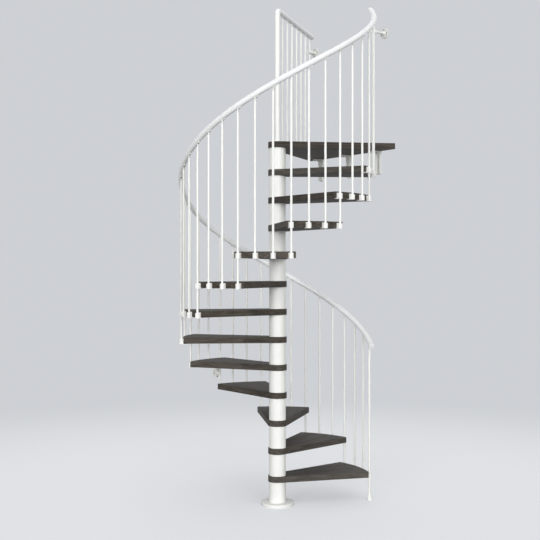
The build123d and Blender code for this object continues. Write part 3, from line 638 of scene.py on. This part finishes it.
# %% Measures of the rails and saddles, in metres
RAIL_R = 0.021
RAIL_PATH_R = 0.7265
RAIL_RISE = 0.070
RAIL_START_Z = 1.228
RAIL_RUN = RAIL_PATH_R * math.radians(PITCH_DEG)
RAIL_LEAN = math.atan2(RAIL_RISE, RAIL_RUN)
CAP_R = 0.0078
CAP_FOOT = -0.050
CAP_TOP = -0.041
CAP_EDGE = 0.0015
CAP_NARROWS = 0.98
STEM_NARROWS = 0.52
STEM_TOP_NARROWS = 0.86
PLATE_LONG = 0.033
PLATE_WIDE = 0.014
PLATE_THICK = 0.0045
PLATE_BEVEL = 0.0010
PLATE_SUNK = 0.0004
SADDLE_SCREW_R = 0.0036
print("slope of the spiral rail in degrees:", round(math.degrees(RAIL_LEAN), 1))


# %% The plate, with the rail's centre at the origin and uphill along +Y
def plate_for(lean):
    let_go()
    sunk = RAIL_R + PLATE_THICK / 2 - PLATE_SUNK
    bpy.ops.mesh.primitive_cube_add(size=1.0, scale=(PLATE_WIDE, PLATE_LONG, PLATE_THICK),
                                    location=(0, 0, -sunk))
    plate = bpy.context.active_object
    bpy.ops.object.transform_apply(location=True, rotation=True, scale=True)
    bpy.ops.object.mode_set(mode="EDIT")
    bpy.ops.mesh.select_all(action="SELECT")
    bpy.ops.mesh.bevel(offset=PLATE_BEVEL, segments=2, affect="EDGES")
    bpy.ops.object.mode_set(mode="OBJECT")
    plate.rotation_euler = (lean, 0, 0)
    bpy.ops.object.transform_apply(location=True, rotation=True, scale=True)
    return plate


# %% The cap and its stem
def stem_for(outward, lean):
    let_go()
    bpy.ops.mesh.primitive_circle_add(vertices=16, radius=CAP_R, fill_type="NGON",
                                      location=(outward, 0, CAP_FOOT))
    stem = bpy.context.active_object
    bpy.ops.object.transform_apply(location=True, rotation=True, scale=True)
    bpy.ops.object.mode_set(mode="EDIT")
    bpy.ops.mesh.select_all(action="SELECT")
    under_rail = -(RAIL_R + PLATE_THICK * 0.5) / math.cos(lean)
    steps = ((CAP_EDGE, CAP_NARROWS), (CAP_TOP - CAP_FOOT - CAP_EDGE, STEM_NARROWS),
             (under_rail - CAP_TOP, STEM_TOP_NARROWS))
    for rise, growth in steps:
        bpy.ops.mesh.extrude_region_move(TRANSFORM_OT_translate={"value": (0, 0, rise)})
        bpy.ops.transform.resize(value=(growth, growth, 1.0), center_override=(outward, 0, 0))
    bpy.ops.mesh.select_all(action="SELECT")
    bpy.ops.mesh.normals_make_consistent(inside=False)
    bpy.ops.object.mode_set(mode="OBJECT")
    return stem


# %% The two together
def saddle_for(lean, outward):
    plate = plate_for(lean)
    stem = stem_for(outward, lean)
    plate.data.materials.append(white_plastic)
    stem.data.materials.append(white_plastic)
    let_go()
    for piece in (plate, stem):
        piece.select_set(True)
    bpy.context.view_layer.objects.active = plate
    bpy.ops.object.join()
    bpy.ops.object.shade_smooth_by_angle(angle=math.radians(SMOOTH_DEG))
    plate.name = "saddle_form"
    return plate


# %% Setting the saddles on the balusters
def set_of_saddles(name, form, places, lean, node_name):
    piece = joined_copies(name, form, places)
    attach(piece, "root")
    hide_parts(node_name)
    print(name, "saddles:", len(places), "faces:", len(piece.data.polygons))
    under = RAIL_R + PLATE_THICK - PLATE_SUNK
    screw_spots = []
    for place in places:
        leant = place @ Matrix.Rotation(lean, 4, "X")
        screw_spots.append((leant @ Vector((0, 0, -under)), leant.to_3x3() @ Vector((0, 0, -1))))
    # The saddle screws are nearly black, partly painted shade under the plates.
    set_of_screws(name + "_screws", screw_spots, SADDLE_SCREW_R, dark_steel_and_shade)


def rail_spot(index):
    swing = Matrix.Rotation(math.radians(START_DEG + PITCH_DEG * index), 4, "Z")
    lift = Matrix.Translation((0, 0, RAIL_START_Z + RAIL_RISE * index))
    return lift @ swing @ Matrix.Translation((RAIL_PATH_R, 0, 0))


# %% The saddles along the spiral
LAST_BALUSTER = 36
spiral_saddle = saddle_for(RAIL_LEAN, 0.0)
for flight, first, last in (("lower", 0, 12), ("middle", 13, 24),
                            ("upper", 25, LAST_BALUSTER - 1)):
    spots = [rail_spot(index) for index in range(first, last + 1)]
    set_of_saddles("saddle_set_" + flight, spiral_saddle, spots, RAIL_LEAN, "saddles_" + flight)
bpy.data.objects.remove(spiral_saddle)

# %% The last saddle, whose baluster stands a little further out
LAST_OUTWARD = 0.0045
last_saddle = saddle_for(RAIL_LEAN, LAST_OUTWARD)
set_of_saddles("saddle_last", last_saddle, [rail_spot(LAST_BALUSTER)], RAIL_LEAN, "saddles_upper")
bpy.data.objects.remove(last_saddle)

# %% Level saddles under the landing rail
GUARD_LOW, GUARD_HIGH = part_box("landing_rail")
GUARD_Z = GUARD_HIGH.z - RAIL_R
GUARD_DEG = 33.9
GUARD_COUNT = 7
GUARD_OVER = 0.0661
guard_rad = math.radians(GUARD_DEG)
GUARD_END = (GUARD_HIGH.x - RAIL_R * math.sin(guard_rad)) / math.cos(guard_rad)
GUARD_STEP = (GUARD_END - GUARD_OVER) / GUARD_COUNT
landing_saddle = saddle_for(0.0, 0.0)
guard_turn = Matrix.Rotation(guard_rad, 4, "Z")
across = Matrix.Rotation(-math.pi / 2, 4, "Z")
guard_spots = [guard_turn @ Matrix.Translation((GUARD_STEP * n, 0, GUARD_Z)) @ across
               for n in range(1, GUARD_COUNT + 1)]
set_of_saddles("saddle_set_landing", landing_saddle, guard_spots, 0.0, "landing_saddles")
bpy.data.objects.remove(landing_saddle)
bpy.data.objects.remove(screw_head)

# %% [markdown]
# ## The seals at the rail's joints
# The spiral rail comes in three lengths that plug into each other, and a thin grey seal shows at
# each joint. A seal is a circle of the tube's size, extruded along the tube in three short steps.
# A resize widens it a little at the first step and narrows it again at the last one, which gives
# the seal its sloped edges.

# %% A joint seal
SEAL_RISE = 0.0003
SEAL_EDGE = 0.0003
SEAL_FLAT = 0.0012
SEAL_GAP = 0.00005
SEAL_SMOOTH_DEG = 30
seal_grey = coated("seal_grey", (0.40, 0.405, 0.41), (0.34, 0.345, 0.35), 900.0, 0.45, 0.6, 0.4)
let_go()
bpy.ops.mesh.primitive_circle_add(vertices=40, radius=RAIL_R + SEAL_GAP, fill_type="NOTHING",
                                  location=(0, 0, -(SEAL_FLAT / 2 + SEAL_EDGE)))
seal = bpy.context.active_object
seal.name = "joint_seal"
bpy.ops.object.transform_apply(location=True, rotation=True, scale=True)
bpy.ops.object.mode_set(mode="EDIT")
bpy.ops.mesh.select_mode(type="EDGE")
bpy.ops.mesh.select_all(action="SELECT")
seal_growth = 1.0 + SEAL_RISE / RAIL_R
for step_up, growth in ((SEAL_EDGE, seal_growth), (SEAL_FLAT, 1.0),
                        (SEAL_EDGE, 1.0 / seal_growth)):
    bpy.ops.mesh.extrude_region_move(TRANSFORM_OT_translate={"value": (0, 0, step_up)})
    bpy.ops.transform.resize(value=(growth, growth, 1.0))
bpy.ops.mesh.select_all(action="SELECT")
bpy.ops.mesh.normals_make_consistent(inside=False)
bpy.ops.object.mode_set(mode="OBJECT")
bpy.ops.object.shade_smooth_by_angle(angle=math.radians(SEAL_SMOOTH_DEG))
print("faces in one seal:", len(seal.data.polygons))

# %% The two seals on the spiral rail
JOINT_DEGREES = (("joint_seal_lower", 110.551), ("joint_seal_upper", 226.305))
along_rail = Matrix.Rotation(RAIL_LEAN - math.pi / 2, 4, "X")
for seal_name, past_deg in JOINT_DEGREES:
    twin = joined_copies(seal_name, seal, [rail_spot(past_deg / PITCH_DEG) @ along_rail])
    twin.data.materials.append(seal_grey)
    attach(twin, "root")
    print(seal_name, "faces:", len(twin.data.polygons))
bpy.data.objects.remove(seal)
